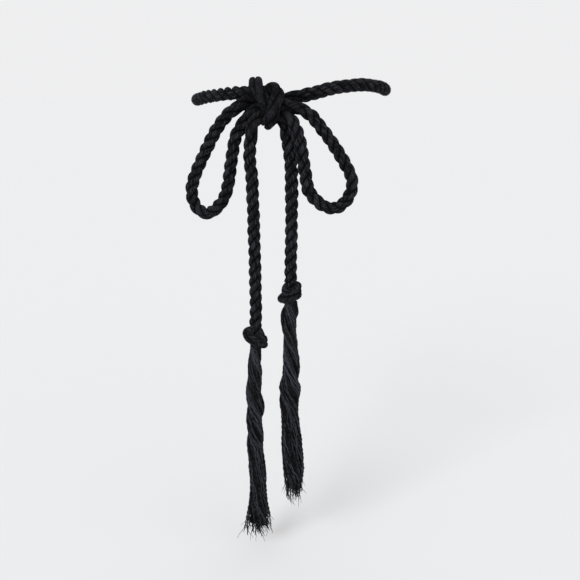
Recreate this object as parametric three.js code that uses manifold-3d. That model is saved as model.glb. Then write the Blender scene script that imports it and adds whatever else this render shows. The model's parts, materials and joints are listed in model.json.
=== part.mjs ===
// Rope belt tied in a bow, as it sits on a waist. Millimetres, +Z up, the bow faces -Y.
// The origin is the middle of the waist hollow. Left and right are as seen from the front.
// One three-strand rope makes all of it: it is followed here from the left tassel to the right one.
import * as THREE from "three";
import Module from "manifold-3d";
import { mergeVertices } from "three/addons/utils/BufferGeometryUtils.js";

const wasm = await Module();
wasm.setup();

// Driving sizes of the rope
const ROPE_DIAMETER = 13;
const ROPE_LAY = 33; // the length in which a strand goes once round the rope
const STRANDS = 3;
const GROOVE_SHARE = 0.84; // a groove's distance from the rope's middle, over the rope's radius
const END_KNOT_SQUEEZE = 0.93; // how thick the rope is in a tight end knot, over its free thickness
const BOW_KNOT_SWELL = 0.05; // how much wider it is pressed in the bow's knot
const JOINT_GAP = 0.3; // between two nodes of the one rope

// Driving sizes of the belt
const WAIST_HALF_WIDTH = 108.5; // to the rope's middle
const WAIST_HALF_DEPTH = 84;
const LEFT_TAIL_END = 243; // how far below the origin the rope of a tail meets its end knot
const RIGHT_TAIL_END = 193;
const TAIL_OUT = 38; // how far the hanging tails stand in front of the waist line
const END_KNOT_HEIGHT = 24.5;
const LEFT_TASSEL_LENGTH = 232;
const RIGHT_TASSEL_LENGTH = 238;
const TASSEL_WIDTH = 20; // of a tassel's middle, which the shares in its table follow
const TASSEL_DEPTH_SHARE = 0.9; // a tassel's depth over its width

// How finely the shapes are cut
const STEPS_PER_LAY = 8.5;
const LOBE_POINTS = [
  // turn: share of a strand's arc, reach: share of the rope's radius
  { turn: 0, reach: GROOVE_SHARE },
  { turn: 1 / 2, reach: 1 },
];
const SAMPLES_PER_POINT = 14;
const LOCKS = 3;
const LOCK_SIDES = 8;
const LOCK_STEPS = 16;

const rope = new THREE.MeshStandardMaterial({ color: 0x17161b, roughness: 0.92, metalness: 0 });
const yarn = new THREE.MeshStandardMaterial({ color: 0x151419, roughness: 0.95, metalness: 0 });

// Rows of the rope's route: across to the right, out from the waist line, up.
// They are in the order in which the rope runs, and each stretch ends where the next begins.
const TAIL_LEFT = [
  [-38.4, TAIL_OUT, -LEFT_TAIL_END],
  [-37.8, 37.5, -222],
  [-38, 37, -202],
  [-38.2, 36, -181],
  [-38.5, 35, -159],
  [-39.1, 34, -140],
  [-39.2, 33, -121],
  [-40, 32, -104],
  [-40.4, 31, -84],
  [-42.5, 29.5, -65],
];
const KNOT_LEFT_TAIL_TO_RIGHT_BOW = [
  [-41.5, 28.2, -47],
  [-40.5, 27.8, -38],
  [-38.5, 25.6, -30.4],
  [-33.5, 22.2, -25],
  [-26.5, 18.2, -22.9],
  [-18, 15, -22.4],
  [-11, 16, -22],
  [-5, 18.5, -23.4],
];
const BOW_LOOP_RIGHT = [
  [0.3, 22.2, -26.7],
  [4.5, 25.5, -34.8],
  [8.3, 27.8, -46],
  [11.6, 29, -64],
  [14.9, 30, -82],
  [18, 29, -97.1],
  [26.2, 27, -108],
  [36.8, 25, -115.4],
  [47.8, 23, -116.4],
  [58.2, 21, -108.8],
  [63.8, 19, -96],
  [62.9, 19, -85],
  [57, 20, -72.6],
  [48.3, 20, -58.3],
  [39.3, 20, -45.3],
  [29.7, 20, -33],
  [20.9, 19.5, -22.6],
];
const KNOT_RIGHT_BOW_TO_LEFT_BOW = [
  [12, 19, -16.8],
  [4, 18.5, -14.2],
  [-4.5, 17.5, -12.3],
  [-12.5, 15, -11],
  [-20, 11.5, -11.5],
  [-27.5, 10, -14.6],
  [-34.5, 10.5, -16.9],
  [-40.4, 12.3, -19.4],
  [-44.6, 14.4, -23.3],
];
const BOW_LOOP_LEFT = [
  [-48.3, 16.4, -28.2],
  [-52.1, 18.7, -34.4],
  [-57.2, 21, -44],
  [-60.2, 22, -58],
  [-63.2, 22, -75.4],
  [-65.8, 21, -91.6],
  [-70.7, 19, -106.5],
  [-78.9, 17, -117.4],
  [-88.9, 14, -123.6],
  [-98.8, 12, -120],
  [-104.5, 11, -109.8],
  [-105.3, 11, -96.8],
  [-100.5, 12, -81.6],
  [-94.3, 13, -68.3],
  [-87.6, 14, -55.2],
  [-81, 15, -42.7],
  [-74.2, 16, -32.1],
  [-66.7, 16, -23.1],
];
const KNOT_LEFT_BOW_OVER_TO_WAIST = [
  [-59.2, 14.5, -16.5],
  [-52.8, 10, -13],
  [-47.5, 3.2, -12.2],
  [-44, -3.2, -9.8],
  [-41.4, -6.2, -3.1],
  [-39.9, -4, 4.3],
  [-37.7, 2, 8.8],
  [-36.1, 9.5, 10.4],
  [-34.2, 16, 7.4],
  [-31.7, 20.5, 1.6],
  [-28.7, 22.5, -5],
  [-25, 22, -11],
  [-20.5, 18, -14.5],
  [-18, 12.5, -13.5],
  [-22.5, 9.5, -11],
  [-30, 8.5, -7.5],
  [-37, 7, -3.5],
  [-44, 5, -1],
];
const KNOT_WAIST_ROUND_TO_RIGHT_TAIL = [
  [11.5, 3, -2],
  [3.5, 2, -4],
  [-4, 0.5, -6.5],
  [-12, -1.5, -8.5],
  [-19.5, -2.5, -7],
  [-24.6, -0.5, -2.2],
  [-25.5, 4.5, 2],
  [-21.5, 9.5, 3.7],
  [-16.2, 14.5, 3.4],
  [-14.1, 20, -0.5],
  [-15, 24.5, -7],
  [-17.2, 26.5, -14.5],
  [-20, 25.5, -21.5],
  [-23.4, 21.5, -27],
  [-24.6, 15.5, -29.6],
  [-21, 10, -28],
  [-15.5, 8, -25],
  [-10.1, 9.3, -25.4],
  [-7.2, 11.5, -30.4],
];
const TAIL_RIGHT = [
  [-5.6, 13.8, -38],
  [-3.6, 16.5, -47],
  [-1.1, 20.5, -61],
  [0.2, 24.5, -79],
  [0.5, 28, -97],
  [0.5, 31, -115],
  [0.3, 34, -134],
  [0.2, 36, -149],
  [-0.3, 37, -164],
  [-0.5, 37.8, -180],
  [-0.5, TAIL_OUT, -RIGHT_TAIL_END],
];

// The waist loop, from the bow round the left side and the back: shares of the waist's half width
// and half depth, and the height in millimetres.
const WAIST = [
  { across: -0.47, back: -0.995, up: 0.7 },
  { across: -0.55, back: -0.925, up: -0.1 },
  { across: -0.65, back: -0.82, up: -1 },
  { across: -0.76, back: -0.68, up: -2.8 },
  { across: -0.86, back: -0.51, up: -4.3 },
  { across: -0.94, back: -0.32, up: -6.4 },
  { across: -0.99, back: -0.1, up: -7.8 },
  { across: -0.99, back: 0.14, up: -8 },
  { across: -0.93, back: 0.38, up: -6.2 },
  { across: -0.81, back: 0.6, up: -4.2 },
  { across: -0.64, back: 0.78, up: -3 },
  { across: -0.43, back: 0.91, up: -5.5 },
  { across: -0.2, back: 0.98, up: -8.5 },
  { across: 0.04, back: 1, up: -8.5 },
  { across: 0.28, back: 0.96, up: -2.8 },
  { across: 0.5, back: 0.87, up: 3.5 },
  { across: 0.7, back: 0.72, up: 6.8 },
  { across: 0.86, back: 0.52, up: 7.3 },
  { across: 0.96, back: 0.28, up: 5.4 },
  { across: 1, back: 0.02, up: 2.5 },
  { across: 0.96, back: -0.22, up: 4.9 },
  { across: 0.89, back: -0.4, up: 6.9 },
  { across: 0.79, back: -0.58, up: 7.9 },
  { across: 0.69, back: -0.7, up: 8.7 },
  { across: 0.57, back: -0.81, up: 7.5 },
  { across: 0.43, back: -0.9, up: 5.7 },
  { across: 0.3, back: -0.96, up: 2.6 },
  { across: 0.2, back: -1.01, up: -0.2 },
];

// The turns of each end knot round its tail, in rope diameters from the knot's middle: across, out, up.
const LEFT_END_KNOT = [
  [
    [0.3, -0.55, 0.12],
    [-0.2, -0.66, 0.28],
    [-0.52, -0.4, 0.38],
    [-0.62, 0.1, 0.38],
    [-0.44, 0.52, 0.22],
    [0.02, 0.68, -0.06],
    [0.42, 0.5, -0.34],
    [0.62, 0.1, -0.43],
    [0.44, -0.4, -0.4],
  ],
  [
    [-0.1, -0.3, 0.44],
    [0.14, -0.15, 0.42],
    [0.38, 0.12, 0.16],
    [0.54, 0.2, -0.18],
    [0.54, -0.2, -0.34],
    [0.2, -0.55, -0.28],
  ],
];
const RIGHT_END_KNOT = [
  [
    [0.48, -0.1, 0.14],
    [0.42, 0.4, 0.04],
    [0.1, 0.64, -0.1],
    [-0.3, 0.58, -0.3],
    [-0.6, 0.15, -0.45],
    [-0.5, -0.35, -0.44],
    [0, -0.6, -0.35],
  ],
  [
    [0, 0.4, 0.05],
    [-0.3, 0.4, 0.12],
    [-0.34, 0, 0.24],
    [-0.25, -0.5, 0.38],
    [0.15, -0.6, 0.44],
    [0.46, -0.2, 0.44],
    [0.5, 0.2, 0.38],
    [0.42, 0.4, 0.2],
  ],
];

// Tassel tables: drop is a share of the tassel's length, shift and width are shares of TASSEL_WIDTH.
const LEFT_TASSEL = [
  { drop: 0, shift: -0.04, width: 0.62 },
  { drop: 0.1, shift: -0.06, width: 0.8 },
  { drop: 0.16, shift: -0.12, width: 0.84 },
  { drop: 0.25, shift: -0.1, width: 0.96 },
  { drop: 0.33, shift: -0.06, width: 1.03 },
  { drop: 0.4, shift: -0.13, width: 0.92 },
  { drop: 0.49, shift: -0.09, width: 1 },
  { drop: 0.59, shift: 0, width: 1.02 },
  { drop: 0.67, shift: 0, width: 1 },
  { drop: 0.73, shift: -0.02, width: 1.02 },
  { drop: 0.81, shift: 0, width: 1.12 },
  { drop: 0.88, shift: 0.05, width: 1.36 },
  { drop: 0.93, shift: 0.05, width: 1.58 },
  { drop: 1, shift: 0.06, width: 1.95 },
];
const RIGHT_TASSEL = [
  { drop: 0, shift: 0, width: 0.7 },
  { drop: 0.05, shift: 0, width: 1 },
  { drop: 0.11, shift: -0.07, width: 0.78 },
  { drop: 0.16, shift: -0.05, width: 0.78 },
  { drop: 0.22, shift: 0.09, width: 0.85 },
  { drop: 0.28, shift: 0, width: 0.97 },
  { drop: 0.35, shift: 0.04, width: 0.98 },
  { drop: 0.4, shift: -0.04, width: 1.28 },
  { drop: 0.47, shift: -0.07, width: 1.15 },
  { drop: 0.53, shift: 0, width: 1.07 },
  { drop: 0.59, shift: 0.03, width: 1.06 },
  { drop: 0.66, shift: 0.04, width: 1.2 },
  { drop: 0.74, shift: 0.06, width: 1.3 },
  { drop: 0.83, shift: 0.2, width: 1.22 },
  { drop: 0.92, shift: 0.28, width: 1 },
  { drop: 1, shift: 0.22, width: 0.78 },
];
const LOCK_CENTRE = 0.22; // a lock's middle from the tassel's, over the tassel's width
const LOCK_RADIUS = 0.27; // over the tassel's width
const LOCK_ENDS = [0.97, 0.93, 0.99]; // where each lock ends, over the tassel's length
const LOCK_TIP_SHARE = 0.45; // a lock's tip over its middle
const LOCK_TURNS = [
  // how far the locks have gone round the tassel
  { drop: 0, turns: 0 },
  { drop: 0.5, turns: 1.15 },
  { drop: 1, turns: 1.55 },
];

function fromWaistLine([across, out, up]) {
  return new THREE.Vector3(across, -(WAIST_HALF_DEPTH + out), up);
}

function onWaist({ across, back, up }) {
  return new THREE.Vector3(across * WAIST_HALF_WIDTH, back * WAIST_HALF_DEPTH, up);
}

// Follows points with a smooth curve and gives the place and the cross directions at any length
// along it. The cross directions turn no more than the curve does.
class Line {
  constructor(points) {
    const curve = new THREE.CatmullRomCurve3(points, false, "centripetal");
    const count = (points.length - 1) * SAMPLES_PER_POINT;
    this.places = [];
    this.lengths = [0];
    for (let i = 0; i <= count; i++) {
      this.places.push(curve.getPoint(i / count));
      if (i > 0) {
        this.lengths.push(this.lengths[i - 1] + this.places[i].distanceTo(this.places[i - 1]));
      }
    }
    this.along = this.places.map((place, i) => {
      const before = this.places[Math.max(i - 1, 0)];
      const after = this.places[Math.min(i + 1, count)];
      return after.clone().sub(before).normalize();
    });
    const start = Math.abs(this.along[0].y) < 0.9 ? new THREE.Vector3(0, 1, 0) : new THREE.Vector3(1, 0, 0);
    this.sides = [start.addScaledVector(this.along[0], -start.dot(this.along[0])).normalize()];
    for (let i = 1; i <= count; i++) {
      const turn = new THREE.Quaternion().setFromUnitVectors(this.along[i - 1], this.along[i]);
      this.sides.push(this.sides[i - 1].clone().applyQuaternion(turn));
    }
  }

  get length() {
    return this.lengths[this.lengths.length - 1];
  }

  lengthAtPoint(index) {
    return this.lengths[index * SAMPLES_PER_POINT];
  }

  at(length) {
    let i = 1;
    while (i < this.lengths.length - 1 && this.lengths[i] < length) {
      i++;
    }
    const share = (length - this.lengths[i - 1]) / (this.lengths[i] - this.lengths[i - 1]);
    const place = this.places[i - 1].clone().lerp(this.places[i], share);
    const along = this.along[i - 1].clone().lerp(this.along[i], share).normalize();
    const side = this.sides[i - 1].clone().lerp(this.sides[i], share);
    side.addScaledVector(along, -side.dot(along)).normalize();
    return { place, side, other: along.clone().cross(side) };
  }
}

// Closes a stack of rings, each with as many points, into one solid with flat ends.
function solidFromRings(rings) {
  const sides = rings[0].length;
  const last = (rings.length - 1) * sides;
  const middleOf = (ring) => {
    const sum = ring.reduce((total, point) => total.add(point), new THREE.Vector3());
    return sum.divideScalar(sides);
  };
  const points = [...rings.flat(), middleOf(rings[0]), middleOf(rings[rings.length - 1])];
  const first = points.length - 2;
  const faces = [];
  for (let i = 0; i < sides; i++) {
    const next = (i + 1) % sides;
    for (let row = 0; row < last; row += sides) {
      faces.push(row + i, row + next, row + sides + next);
      faces.push(row + i, row + sides + next, row + sides + i);
    }
    faces.push(first, next, i);
    faces.push(first + 1, last + i, last + next);
  }
  const geometry = new THREE.BufferGeometry().setFromPoints(points);
  geometry.setIndex(faces);
  return geometry;
}

// A stretch of twisted rope, from one length along a line to another. It swells towards its middle.
function ropeGeometry(line, from, to, { thickness = 1, swell = 0 } = {}) {
  const steps = Math.max(2, Math.ceil(((to - from) / ROPE_LAY) * STEPS_PER_LAY));
  const rings = [];
  for (let step = 0; step <= steps; step++) {
    const length = from + ((to - from) * step) / steps;
    const { place, side, other } = line.at(length);
    const radius = (ROPE_DIAMETER / 2) * (thickness + swell * Math.sin((Math.PI * step) / steps));
    const ring = [];
    for (let strand = 0; strand < STRANDS; strand++) {
      for (const { turn, reach } of LOBE_POINTS) {
        const angle = 2 * Math.PI * (length / ROPE_LAY + (strand + turn) / STRANDS);
        const point = place.clone().addScaledVector(side, Math.cos(angle) * reach * radius);
        ring.push(point.addScaledVector(other, Math.sin(angle) * reach * radius));
      }
    }
    rings.push(ring);
  }
  return solidFromRings(rings);
}

// Joins closed geometries that overlap into one, and fills the specks of air shut in between them,
// which squeezed rope doesn't have.
function joined(geometries) {
  let whole = null;
  for (const geometry of geometries) {
    geometry.deleteAttribute("normal");
    geometry.deleteAttribute("uv");
    const merged = mergeVertices(geometry, 1e-4);
    const vertProperties = new Float32Array(merged.attributes.position.array);
    const triVerts = new Uint32Array(merged.index.array);
    const solid = new wasm.Manifold(new wasm.Mesh({ numProp: 3, vertProperties, triVerts }));
    whole = whole ? whole.add(solid) : solid;
  }
  const shells = whole.decompose().sort((a, b) => b.volume() - a.volume());
  const mesh = shells[0].getMesh();
  const geometry = new THREE.BufferGeometry();
  geometry.setAttribute("position", new THREE.BufferAttribute(mesh.vertProperties, 3));
  geometry.setIndex(new THREE.BufferAttribute(mesh.triVerts, 1));
  return geometry;
}

function namedMesh(name, geometry, material) {
  geometry.computeVertexNormals();
  const mesh = new THREE.Mesh(geometry, material);
  mesh.name = name;
  return mesh;
}

// The whole rope between its two end knots, and the nodes that its stretches belong to.
function beltRope() {
  const stretches = [
    { node: "tail_left", points: TAIL_LEFT.map(fromWaistLine) },
    { node: "bow_knot", points: KNOT_LEFT_TAIL_TO_RIGHT_BOW.map(fromWaistLine) },
    { node: "bow_loop_right", points: BOW_LOOP_RIGHT.map(fromWaistLine) },
    { node: "bow_knot", points: KNOT_RIGHT_BOW_TO_LEFT_BOW.map(fromWaistLine) },
    { node: "bow_loop_left", points: BOW_LOOP_LEFT.map(fromWaistLine) },
    { node: "bow_knot", points: KNOT_LEFT_BOW_OVER_TO_WAIST.map(fromWaistLine) },
    { node: "waist_rope", points: WAIST.map(onWaist) },
    { node: "bow_knot", points: KNOT_WAIST_ROUND_TO_RIGHT_TAIL.map(fromWaistLine) },
    { node: "tail_right", points: TAIL_RIGHT.map(fromWaistLine) },
  ];
  const points = stretches.flatMap((stretch) => stretch.points);
  const line = new Line(points);
  let index = 0;
  for (const stretch of stretches) {
    stretch.from = line.lengthAtPoint(index) + JOINT_GAP / 2;
    index += stretch.points.length;
    stretch.to = line.lengthAtPoint(Math.min(index, points.length - 1)) - JOINT_GAP / 2;
  }
  return { line, stretches };
}

function endKnotGeometry(top, bands) {
  const middle = top.clone().add(new THREE.Vector3(0, 0, -END_KNOT_HEIGHT / 2));
  const bottom = top.clone().add(new THREE.Vector3(0, 0, -END_KNOT_HEIGHT));
  const core = new Line([top, middle, bottom]);
  const stem = ropeGeometry(core, JOINT_GAP / 2, core.length - JOINT_GAP / 2, {
    thickness: END_KNOT_SQUEEZE,
  });
  const turns = bands.map((rows) => {
    const points = rows.map(([across, out, up]) => {
      return middle.clone().addScaledVector(new THREE.Vector3(across, -out, up), ROPE_DIAMETER);
    });
    const line = new Line(points);
    return ropeGeometry(line, 0, line.length, { thickness: END_KNOT_SQUEEZE });
  });
  return joined([stem, ...turns]);
}

// Reads one column of a table at a share of the tassel's length.
function readTable(table, column, drop) {
  const below = Math.max(1, table.findIndex((row) => row.drop >= drop));
  const [a, b] = [table[below - 1], table[below]];
  return THREE.MathUtils.lerp(a[column], b[column], (drop - a.drop) / (b.drop - a.drop));
}

// One lock of yarns: it swirls round the tassel, thins to a tip and ends at its own length.
function lockGeometry(top, length, table, lock) {
  const rings = [];
  const end = LOCK_ENDS[lock];
  for (let step = 0; step <= LOCK_STEPS; step++) {
    const drop = (end * step) / LOCK_STEPS;
    const shift = readTable(table, "shift", drop) * TASSEL_WIDTH;
    const width = readTable(table, "width", drop) * TASSEL_WIDTH;
    const angle = 2 * Math.PI * (lock / LOCKS + readTable(LOCK_TURNS, "turns", drop));
    const reach = width * LOCK_CENTRE;
    const radius = width * LOCK_RADIUS * (step === LOCK_STEPS ? LOCK_TIP_SHARE : 1);
    const middle = top.clone().add(
      new THREE.Vector3(
        shift + Math.cos(angle) * reach,
        Math.sin(angle) * reach * TASSEL_DEPTH_SHARE,
        -drop * length,
      ),
    );
    const ring = [];
    for (let i = 0; i < LOCK_SIDES; i++) {
      const turn = angle - (2 * Math.PI * i) / LOCK_SIDES;
      const across = Math.cos(turn) * radius;
      const back = Math.sin(turn) * radius * TASSEL_DEPTH_SHARE;
      ring.push(middle.clone().add(new THREE.Vector3(across, back, 0)));
    }
    rings.push(ring);
  }
  return solidFromRings(rings);
}

function tasselGeometry(knotTop, length, table) {
  const top = knotTop.clone().add(new THREE.Vector3(0, 0, -END_KNOT_HEIGHT - JOINT_GAP / 2));
  const locks = LOCK_ENDS.map((end, lock) => lockGeometry(top, length, table, lock));
  return joined(locks);
}

const { line, stretches } = beltRope();
const belt = new THREE.Group();

for (const { node, from, to } of stretches.filter((stretch) => stretch.node !== "bow_knot")) {
  belt.add(namedMesh(node, ropeGeometry(line, from, to), rope));
}
const passes = stretches.filter((stretch) => stretch.node === "bow_knot");
const knotPasses = passes.map(({ from, to }) => ropeGeometry(line, from, to, { swell: BOW_KNOT_SWELL }));
belt.add(namedMesh("bow_knot", joined(knotPasses), rope));

const leftEnd = fromWaistLine(TAIL_LEFT[0]);
const rightEnd = fromWaistLine(TAIL_RIGHT[TAIL_RIGHT.length - 1]);
belt.add(namedMesh("end_knot_left", endKnotGeometry(leftEnd, LEFT_END_KNOT), rope));
belt.add(namedMesh("end_knot_right", endKnotGeometry(rightEnd, RIGHT_END_KNOT), rope));
belt.add(namedMesh("tassel_left", tasselGeometry(leftEnd, LEFT_TASSEL_LENGTH, LEFT_TASSEL), yarn));
belt.add(namedMesh("tassel_right", tasselGeometry(rightEnd, RIGHT_TASSEL_LENGTH, RIGHT_TASSEL), yarn));

export default belt;
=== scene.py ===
"""Rope belt tied in a bow: its looks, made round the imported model.

Metres, +Z up, the bow faces -Y. Left and right are as seen from the front.
"""
import json
import math

import bpy
import numpy as np
from mathutils import Vector
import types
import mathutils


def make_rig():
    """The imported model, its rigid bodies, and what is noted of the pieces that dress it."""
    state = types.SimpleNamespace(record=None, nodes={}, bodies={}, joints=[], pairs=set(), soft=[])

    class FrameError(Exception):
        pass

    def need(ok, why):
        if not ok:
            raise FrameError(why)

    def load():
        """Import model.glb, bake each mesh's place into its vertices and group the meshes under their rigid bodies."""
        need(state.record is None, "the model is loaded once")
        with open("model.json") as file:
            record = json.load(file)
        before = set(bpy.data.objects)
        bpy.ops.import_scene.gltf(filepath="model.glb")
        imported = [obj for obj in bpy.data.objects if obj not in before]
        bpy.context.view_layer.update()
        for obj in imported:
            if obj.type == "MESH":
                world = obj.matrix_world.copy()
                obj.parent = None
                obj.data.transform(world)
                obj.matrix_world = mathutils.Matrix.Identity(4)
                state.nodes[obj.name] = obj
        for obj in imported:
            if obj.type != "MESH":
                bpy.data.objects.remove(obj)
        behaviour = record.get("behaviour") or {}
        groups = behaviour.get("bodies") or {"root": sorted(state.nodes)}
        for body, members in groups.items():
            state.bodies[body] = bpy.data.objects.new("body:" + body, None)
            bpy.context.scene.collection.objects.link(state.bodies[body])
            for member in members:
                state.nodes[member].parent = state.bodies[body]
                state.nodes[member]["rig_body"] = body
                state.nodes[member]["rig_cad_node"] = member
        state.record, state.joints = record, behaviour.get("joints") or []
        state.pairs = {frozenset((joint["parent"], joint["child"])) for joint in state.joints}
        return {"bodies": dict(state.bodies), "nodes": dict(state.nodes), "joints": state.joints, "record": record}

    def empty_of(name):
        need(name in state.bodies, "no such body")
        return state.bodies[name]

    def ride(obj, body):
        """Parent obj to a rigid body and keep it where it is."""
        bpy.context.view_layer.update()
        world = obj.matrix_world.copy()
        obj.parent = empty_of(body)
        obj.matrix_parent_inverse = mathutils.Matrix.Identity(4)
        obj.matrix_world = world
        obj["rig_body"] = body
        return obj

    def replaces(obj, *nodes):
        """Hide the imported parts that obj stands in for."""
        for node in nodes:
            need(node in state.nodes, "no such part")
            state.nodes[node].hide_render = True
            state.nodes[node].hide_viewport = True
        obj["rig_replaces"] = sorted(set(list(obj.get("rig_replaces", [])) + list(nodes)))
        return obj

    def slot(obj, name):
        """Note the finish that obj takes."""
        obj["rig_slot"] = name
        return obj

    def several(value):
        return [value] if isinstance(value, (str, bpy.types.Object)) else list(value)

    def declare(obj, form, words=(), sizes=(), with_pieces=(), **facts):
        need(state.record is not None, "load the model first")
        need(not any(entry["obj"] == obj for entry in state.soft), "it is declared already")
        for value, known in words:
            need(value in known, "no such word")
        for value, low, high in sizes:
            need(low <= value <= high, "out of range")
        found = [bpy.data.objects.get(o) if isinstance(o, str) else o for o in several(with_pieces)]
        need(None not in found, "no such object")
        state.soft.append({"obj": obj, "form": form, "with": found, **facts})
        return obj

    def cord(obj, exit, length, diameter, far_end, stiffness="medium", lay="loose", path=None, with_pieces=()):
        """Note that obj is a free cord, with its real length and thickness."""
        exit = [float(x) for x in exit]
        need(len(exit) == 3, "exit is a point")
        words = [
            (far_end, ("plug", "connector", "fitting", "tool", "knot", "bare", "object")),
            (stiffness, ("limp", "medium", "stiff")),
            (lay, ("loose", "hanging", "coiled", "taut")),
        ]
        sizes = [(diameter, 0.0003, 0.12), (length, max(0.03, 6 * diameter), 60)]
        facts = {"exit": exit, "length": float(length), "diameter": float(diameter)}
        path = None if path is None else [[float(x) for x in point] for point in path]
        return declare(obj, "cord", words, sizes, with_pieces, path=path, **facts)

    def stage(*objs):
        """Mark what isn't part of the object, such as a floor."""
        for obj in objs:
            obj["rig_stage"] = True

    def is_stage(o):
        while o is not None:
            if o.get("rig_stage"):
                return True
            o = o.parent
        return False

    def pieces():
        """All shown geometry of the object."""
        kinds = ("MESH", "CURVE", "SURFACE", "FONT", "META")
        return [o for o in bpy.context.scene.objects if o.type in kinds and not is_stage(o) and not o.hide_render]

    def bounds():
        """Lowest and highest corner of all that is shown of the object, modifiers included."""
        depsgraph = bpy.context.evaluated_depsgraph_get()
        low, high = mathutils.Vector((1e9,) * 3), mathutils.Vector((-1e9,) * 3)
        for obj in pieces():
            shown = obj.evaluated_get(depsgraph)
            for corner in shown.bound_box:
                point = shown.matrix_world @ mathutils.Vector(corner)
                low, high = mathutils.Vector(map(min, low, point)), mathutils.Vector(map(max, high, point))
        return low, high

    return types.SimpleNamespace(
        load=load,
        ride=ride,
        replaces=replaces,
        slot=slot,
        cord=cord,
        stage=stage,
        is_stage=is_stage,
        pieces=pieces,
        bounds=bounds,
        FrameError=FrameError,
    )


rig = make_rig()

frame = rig.load()
cad_low, cad_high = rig.bounds()

# The rope
ROPE_DIAMETER = 0.013
ROPE_LAY = 0.033  # the length of one turn of its strands
BOW_KNOT_LAY = 0.08  # where it is bent tightly its strands lie straighter
END_KNOT_LAY = 0.09
LAY_CHANGE_ROWS = 16  # over which the lay changes where the rope enters the bow's knot
FIRST_TURN = 0.25  # of the strands, at the left tail's end
STRANDS = 3
STRAND_CENTRE = 0.42  # a strand's middle from the rope's, over the rope's radius
STRAND_RADIUS = 0.58  # over the rope's radius
GROOVE_REACH = 0.57  # a groove's floor from the rope's middle, over the rope's radius
YARN_RELIEF = 0.0004  # from a yarn's crest to the middle of its slope
THICKNESS_WAVES = [(0.016, 0.047), (0.012, 0.0193)]  # share of the thickness, length
BOW_KNOT_SWELL = 0.05  # of the thickness, midway along each pass through the bow's knot
SWELL_BELOW_KNOT = {"tail_right": 0.06, "bow_loop_right": 0.05}  # of the thickness
SWELL_FADE = [(0, 0), (0.01, 1), (0.06, 1), (0.09, 0)]  # length from the bow's knot, share of the swell
END_KNOT_SQUEEZE = 0.93  # over the rope's thickness
END_KNOT_HEIGHT = 0.0245

# How finely it is cut
COLUMNS_PER_STRAND = 14
COLUMNS = STRANDS * COLUMNS_PER_STRAND
COLUMNS_PER_YARN = 2
ROW = ROPE_LAY / 50
SAMPLES_PER_POINT = 14

# Painted shade: how much light reaches a place, 1 in the open, 0 deep between strands or yarns; the material darkens
# the colour by it
GROOVE_SHADES = [(0, 0.02), (1, 0.2), (2, 0.62), (4, 0.9), (6, 1)]  # columns from the groove, shade
VALLEY_SHADE = 0.05  # between two yarns, over the shade of their crests
TUBE_END_SHADE = 0.1

# The rope's route: across to the right, out from the waist line, up
WAIST_HALF_WIDTH = 0.1085
WAIST_HALF_DEPTH = 0.084
TAIL_OUT = 0.038
LEFT_TAIL_END = 0.243
RIGHT_TAIL_END = 0.193
TAIL_LEFT = [
    (-0.0384, TAIL_OUT, -LEFT_TAIL_END), (-0.0378, 0.0375, -0.222), (-0.038, 0.037, -0.202),
    (-0.0382, 0.036, -0.181), (-0.0385, 0.035, -0.159), (-0.0391, 0.034, -0.14),
    (-0.0392, 0.033, -0.121), (-0.04, 0.032, -0.104), (-0.0404, 0.031, -0.084),
    (-0.0425, 0.0295, -0.065),
]
KNOT_LEFT_TAIL_TO_RIGHT_BOW = [
    (-0.0415, 0.0282, -0.047), (-0.0405, 0.0278, -0.038), (-0.0385, 0.0256, -0.0304),
    (-0.0335, 0.0222, -0.025), (-0.0265, 0.0182, -0.0229), (-0.018, 0.015, -0.0224),
    (-0.011, 0.016, -0.022), (-0.005, 0.0185, -0.0234),
]
BOW_LOOP_RIGHT = [
    (0.0003, 0.0222, -0.0267), (0.0045, 0.0255, -0.0348), (0.0083, 0.0278, -0.046),
    (0.0116, 0.029, -0.064), (0.0149, 0.03, -0.082), (0.018, 0.029, -0.0971), (0.0262, 0.027, -0.108),
    (0.0368, 0.025, -0.1154), (0.0478, 0.023, -0.1164), (0.0582, 0.021, -0.1088),
    (0.0638, 0.019, -0.096), (0.0629, 0.019, -0.085), (0.057, 0.02, -0.0726), (0.0483, 0.02, -0.0583),
    (0.0393, 0.02, -0.0453), (0.0297, 0.02, -0.033), (0.0209, 0.0195, -0.0226),
]
KNOT_RIGHT_BOW_TO_LEFT_BOW = [
    (0.012, 0.019, -0.0168), (0.004, 0.0185, -0.0142), (-0.0045, 0.0175, -0.0123),
    (-0.0125, 0.015, -0.011), (-0.02, 0.0115, -0.0115), (-0.0275, 0.01, -0.0146),
    (-0.0345, 0.0105, -0.0169), (-0.0404, 0.0123, -0.0194), (-0.0446, 0.0144, -0.0233),
]
BOW_LOOP_LEFT = [
    (-0.0483, 0.0164, -0.0282), (-0.0521, 0.0187, -0.0344), (-0.0572, 0.021, -0.044),
    (-0.0602, 0.022, -0.058), (-0.0632, 0.022, -0.0754), (-0.0658, 0.021, -0.0916),
    (-0.0707, 0.019, -0.1065), (-0.0789, 0.017, -0.1174), (-0.0889, 0.014, -0.1236),
    (-0.0988, 0.012, -0.12), (-0.1045, 0.011, -0.1098), (-0.1053, 0.011, -0.0968),
    (-0.1005, 0.012, -0.0816), (-0.0943, 0.013, -0.0683), (-0.0876, 0.014, -0.0552),
    (-0.081, 0.015, -0.0427), (-0.0742, 0.016, -0.0321), (-0.0667, 0.016, -0.0231),
]
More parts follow.
